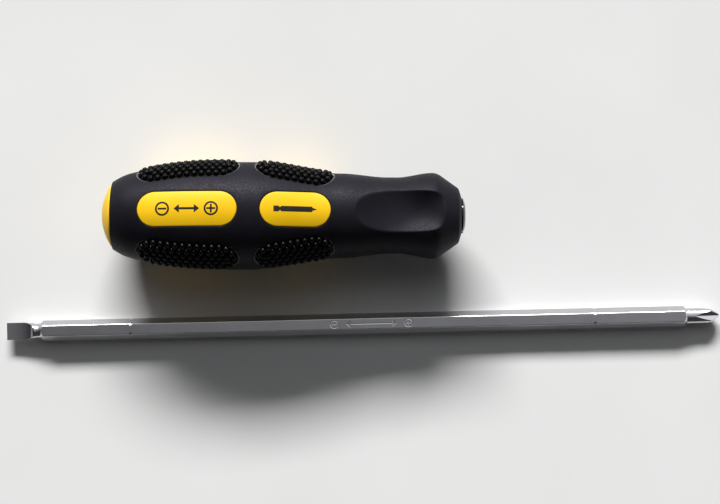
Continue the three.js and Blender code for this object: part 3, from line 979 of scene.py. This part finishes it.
def blade_sign(at, aside, levels, long, line):
    """A bar with a flat tip on its left and a pointed one on its right."""
    reach = long / 2
    tip_long, neck_at, bar_from = 1.6, 2.2, 2.6
    point_half, bar_half, neck_half, flat_half = 0.45 * line, 0.8 * line, 0.4 * line, 0.85 * line
    outline = [
        (reach, 0), (reach - tip_long, point_half), (reach - tip_long, bar_half),
        (bar_from - reach, bar_half), (neck_at - reach, neck_half),
        (tip_long - reach, flat_half), (-reach, flat_half),
    ]
    outline += [(x, -y) for x, y in reversed(outline[1:])]
    return [prism_mark(at, aside, levels, outline)]


ink_bottom = -0.075
ink_top = -0.03
facing_line = line_place(window_lines[2])


def print_on_window(name, span, marks):
    """Ink in the shape of the marks, on the window of a span that faces up."""
    bpy.ops.mesh.primitive_grid_add(x_subdivisions=14, y_subdivisions=22, size=1)
    sign = bpy.context.object
    sign.name = sign.data.name = name
    sign.scale = (span[1] - span[0], 2 * window_half, 1)
    sign.location = ((span[0] + span[1]) / 2, facing_line, ink_bottom)
    bpy.ops.object.transform_apply()
    edit(sign)
    bpy.ops.mesh.select_all(action="SELECT")
    extrude((0, 0, ink_top - ink_bottom))
    face_outwards()
    finish_edit()
    cut(sign, joined("marks", marks), "INTERSECT")
    wrap_round_handle(sign)
    settle(sign, on_handle)
    return sign


full_ink = (0.010, 0.009, 0.008)
thin_ink = (0.018, 0.016, 0.012)
window_ink, shader, surface = new_material("window_ink", moulded_surface, {"Cloud": 300, "Grain": 5000})
add_ramp(window_ink, surface["Cloud"], full_ink, thin_ink, shader.inputs["Base Color"])
add_ramp(window_ink, surface["Grain"], grey(0.42), grey(0.55), shader.inputs["Roughness"])
shader.inputs["Specular IOR Level"].default_value = 0.2

through_ink = (-1, 1)
heads_apart = 16.4
head_size = {"radius": 2.4, "line": 0.62}
rear_at, front_at = (sum(span) / 2 for span in windows)
rear_marks = screw_sign(rear_at - heads_apart / 2, facing_line, through_ink, crossed=False, **head_size)
rear_marks += arrow_sign(rear_at, facing_line, through_ink, long=8.6, line=0.75, head=1.8)
rear_marks += screw_sign(rear_at + heads_apart / 2, facing_line, through_ink, crossed=True, **head_size)
front_marks = blade_sign(front_at, facing_line, through_ink, long=14.5, line=1.15)
for name, span, marks in (("sign_rear", windows[0], rear_marks), ("sign_front", windows[1], front_marks)):
    sign = print_on_window(name, span, marks)
    sign.data.materials.clear()
    sign.data.materials.append(window_ink)
    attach(sign, "handle")


# Blade
# A plated hexagon bar of tool steel, with a slotted tip forged on one end and a cross tip on the other.
# Either end is pushed into the socket, where a shallow groove across its corners takes the retaining ring.
# Two screw heads and an arrow are stamped in its upper flat.

blade_length = 250
hex_flats = 6.35
hex_corner = hex_flats / math.sqrt(3)
neck_radius = 2.8
neck_end = 11.9
cross_from = 238.6
chamfer_long = 1.4
chamfer_slope = 0.85
chamfer_top = neck_radius + chamfer_slope * chamfer_long
bpy.ops.mesh.primitive_cylinder_add(
    vertices=6, radius=hex_corner, depth=cross_from - neck_end,
    location=((cross_from + neck_end) / 2, 0, 0), rotation=(0, math.pi / 2, 0),
)
blade = bpy.context.object
blade.name = blade.data.name = "blade_bar"
bpy.ops.object.transform_apply()
edit(blade)
pick("EDGE", lambda edge: edge.calc_length() > blade_length / 2)
bpy.ops.mesh.bevel(offset=0.2, segments=3, affect="EDGES")
finish_edit()
envelope = turn_on_lathe("bar_envelope", [
    (neck_end, 0), (neck_end, neck_radius), (neck_end + chamfer_long, chamfer_top),
    (cross_from - chamfer_long, chamfer_top), (cross_from, neck_radius), (cross_from, 0),
], steps=96)
cut(blade, envelope, "INTERSECT")

groove_from_end = 43.6
groove_root = hex_corner - 0.3
groove_above = groove_root + 0.5
groove_half = 0.75
groove_root_half = 0.4
for groove_at in (groove_from_end, blade_length - groove_from_end):
    groove = turn_on_lathe("catch_groove", [
        (groove_at - groove_half, groove_above), (groove_at - groove_root_half, groove_root),
        (groove_at + groove_root_half, groove_root), (groove_at + groove_half, groove_above),
        (groove_at - groove_half, groove_above),
    ], steps=96)
    cut(blade, groove, "DIFFERENCE")

# The slotted tip is a forged plate on a turned neck, with both its faces ground hollow.
slot_half = 3.0
shoulder = [(5.9, slot_half), (7.5, slot_half), (9.0, neck_radius * math.sqrt(0.5))]
plan = [(0, slot_half)] + bend_between(*shoulder, steps=10)
plan += [(at, -aside) for at, aside in reversed(plan)]
underside = [(at, aside, -neck_radius) for at, aside in plan]
slotted_tip = extruded_outline("slotted_tip", underside, (0, 0, 2 * neck_radius))
neck_from = 6.5
neck_waist = [(9.3, neck_radius), (10.7, neck_radius - 0.5), (12.1, neck_radius + 0.1)]
neck_to = 13.4
neck_profile = [(neck_from, 0), (neck_from, neck_radius)] + bend_between(*neck_waist, steps=10)
neck_profile += [(neck_to, neck_waist[-1][1]), (neck_to, 0)]
neck = turn_on_lathe("tip_neck", neck_profile, steps=64)
cut(slotted_tip, neck, "UNION")
tip_thickness = 1.0
hollow_foot = [(0, tip_thickness / 2), (7.7, tip_thickness / 2), (8.8, 1.9)]
hollow_top = [hollow_foot[-1], (9.35, 2.6), (10.4, neck_radius)]
hollow = bend_between(*hollow_foot, steps=16) + bend_between(*hollow_top, steps=8)[1:]
stock_half = 6
stock_end = 14
side = hollow + [(hollow_top[-1][0], stock_half), (stock_end, stock_half)]
side += [(at, -height) for at, height in reversed(side)]
near_side = [(at, -stock_half, height) for at, height in side]
ground_faces = extruded_outline("ground_faces", near_side, (0, 2 * stock_half, 0))
cut(slotted_tip, ground_faces, "INTERSECT")
cut(blade, slotted_tip, "UNION")

# The cross tip is turned to a blunt point, and four flutes are milled into it, sloping up from the point.
cross_root = 236.9
cross_point = [(246.9, 2.78), (247.3, 2.62), (249.75, 0.9), (blade_length, 0.66)]
cross_profile = [(cross_root, 0), (cross_root, neck_radius), (cross_from, neck_radius)]
cross_profile += cross_point + [(blade_length, 0)]
cross_tip = turn_on_lathe("cross_tip", cross_profile, steps=64)
flute_root = 0.32
flute_length = 8.6
flute_wall = math.radians(58)
flute_slope = math.atan2(neck_radius - flute_root, flute_length)
mill_rear = -15.6
mill_long = 23.4
mill_high = 5.3
mill_half = mill_high * math.tan(flute_wall)
mill_edge = (0.06, 0.04)
vee = [mill_edge, (mill_half, mill_high)]
vee += [(-aside, height) for aside, height in reversed(vee)]
for quarter in range(4):
    flute = extruded_outline("flute", [(mill_rear, *corner) for corner in vee], (mill_long, 0, 0))
    lean = Matrix.Translation((blade_length, 0, flute_root)) @ Matrix.Rotation(flute_slope, 4, "Y")
    flute.data.transform(Matrix.Rotation(quarter * math.pi / 2, 4, "X") @ lean)
    cut(cross_tip, flute, "DIFFERENCE")
cut(blade, cross_tip, "UNION")

# Each punch is drawn over the flat, and its lower end is then pushed in with sloping walls.
arrow_at = 128
heads_from_arrow = 13
stroke = 0.5
stamped_head = {"radius": 1.55, "line": stroke}
over_flat = (hex_flats / 2 + hair, hex_flats / 2 + 1)
punches = screw_sign(arrow_at - heads_from_arrow, 0, over_flat, crossed=False, **stamped_head)
punches += arrow_sign(arrow_at, 0, over_flat, long=18, line=stroke, head=1.7)
punches += screw_sign(arrow_at + heads_from_arrow, 0, over_flat, crossed=True, **stamped_head)
for punch in punches:
    edit(punch)
    pick("FACE", lambda face: face.normal.z < -0.5)
    bpy.ops.mesh.inset(thickness=0.22, depth=0.08)
    finish_edit()
    cut(blade, punch, "DIFFERENCE")
stamped_half = 1.6
stamped_reach = 18


def is_stamped(edge):
    near_arrow = all(abs(vertex.co.x - arrow_at) < stamped_reach for vertex in edge.verts)
    return near_arrow and all(abs(vertex.co.y) < stamped_half < vertex.co.z for vertex in edge.verts)


edit(blade)
pick("EDGE", is_stamped)
bpy.ops.mesh.mark_sharp()
finish_edit()

blade_ahead = 89.3
blade_aside = 37.5
blade_yaw = math.radians(1.31)
blade_x = butt_x + blade_ahead * millimetre
blade_y = axis_y - blade_aside * millimetre
beside_handle = (
    Matrix.Translation((blade_x, blade_y, hex_flats / 2 * millimetre))
    @ Matrix.Rotation(blade_yaw, 4, "Z")
    @ Matrix.Scale(millimetre, 4)
    @ Matrix.Translation((-blade_length / 2, 0, 0))
)
settle(blade, beside_handle)
smooth(blade, degrees=25)
apply_modifier(blade, "flat_shading", "WEIGHTED_NORMAL", keep_sharp=True, weight=50)
dark_steel = (0.59, 0.58, 0.60)
pale_steel = (0.66, 0.65, 0.67)
blade_steel = metal("blade_steel", dark_steel, pale_steel, smoothest=0.12, roughest=0.18, turn=-blade_yaw)
blade.data.materials.append(blade_steel)
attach(blade, "blade")
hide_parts("blade")


# Table, light and camera
# A plain pale table top under everything, lit by one wide window from the handle's far side.
# The dim room is brighter high up on that side, and metal mirrors the bright wall there.
# The camera looks straight down.

bpy.ops.mesh.primitive_plane_add(size=6)
table = bpy.context.object
table.name = "table_top"
dull_paint = (0.80, 0.80, 0.79)
fresh_paint = (0.84, 0.84, 0.83)
table_paint, shader, surface = new_material("table_paint", moulded_surface, {"Cloud": 12, "Grain": 900})
add_ramp(table_paint, surface["Cloud"], dull_paint, fresh_paint, shader.inputs["Base Color"])
shader.inputs["Roughness"].default_value = 0.75
shader.inputs["Specular IOR Level"].default_value = 0.0
table.data.materials.append(table_paint)

world = bpy.data.worlds.new("studio")
bpy.context.scene.world = world
world.use_nodes = True
nodes, links = world.node_tree.nodes, world.node_tree.links
room = nodes["Background"]
room.inputs["Color"].default_value = (0.95, 0.97, 1, 1)
ray = nodes.new("ShaderNodeLightPath")
direction = nodes.new("ShaderNodeTexCoord")


def room_brightness(towards, fades_at, dimmest, brightest):
    """The room's brightness in all directions, brightest in one and faded out at a cosine from it."""
    facing = nodes.new("ShaderNodeVectorMath")
    facing.operation = "DOT_PRODUCT"
    facing.inputs[1].default_value = towards
    links.new(direction.outputs["Generated"], facing.inputs[0])
    brightness = nodes.new("ShaderNodeMapRange")
    brightness.interpolation_type = "SMOOTHSTEP"
    brightness.inputs["From Min"].default_value = fades_at
    brightness.inputs["From Max"].default_value = 1
    brightness.inputs["To Min"].default_value = dimmest
    brightness.inputs["To Max"].default_value = brightest
    links.new(facing.outputs["Value"], brightness.inputs["Value"])
    return brightness.outputs["Result"]


bright_wall = (0.35, 0.94, 0)
high_up = (0, 0.616, 0.788)
lit_room = nodes.new("ShaderNodeMix")
links.new(ray.outputs["Is Glossy Ray"], lit_room.inputs["Factor"])
links.new(room_brightness(high_up, fades_at=0.88, dimmest=0.035, brightest=0.95), lit_room.inputs["A"])
links.new(room_brightness(bright_wall, fades_at=-0.4, dimmest=0.05, brightest=1.1), lit_room.inputs["B"])
seen_room = nodes.new("ShaderNodeMix")
seen_room.inputs["B"].default_value = 1
links.new(ray.outputs["Is Camera Ray"], seen_room.inputs["Factor"])
links.new(lit_room.outputs["Result"], seen_room.inputs["A"])
links.new(seen_room.outputs["Result"], room.inputs["Strength"])

light_height = math.radians(28.5)
light_swing = math.radians(8)
light_far = 13.6
light_out = light_far * math.cos(light_height)
light_x = -light_out * math.sin(light_swing)
light_y = light_out * math.cos(light_swing)
light_z = light_far * math.sin(light_height)
bpy.ops.object.light_add(type="AREA", location=(light_x, light_y, light_z))
window_light = bpy.context.object
window_light.name = "window_light"
window_light.data.shape = "RECTANGLE"
window_light.data.size = 8.4
window_light.data.size_y = 2.2
window_light.data.energy = 3520
window_light.rotation_euler = (light_height - math.pi / 2, 0, light_swing)

middle_of_view = (-0.00097, -0.00023)
camera_height = 0.650
camera_data = bpy.data.cameras.new("overhead")
camera_data.lens = 92
camera_data.sensor_width = 36
camera = bpy.data.objects.new("overhead", camera_data)
camera.location = (*middle_of_view, camera_height)
bpy.context.scene.collection.objects.link(camera)
bpy.context.scene.camera = camera
bpy.context.scene.view_settings.view_transform = "Standard"
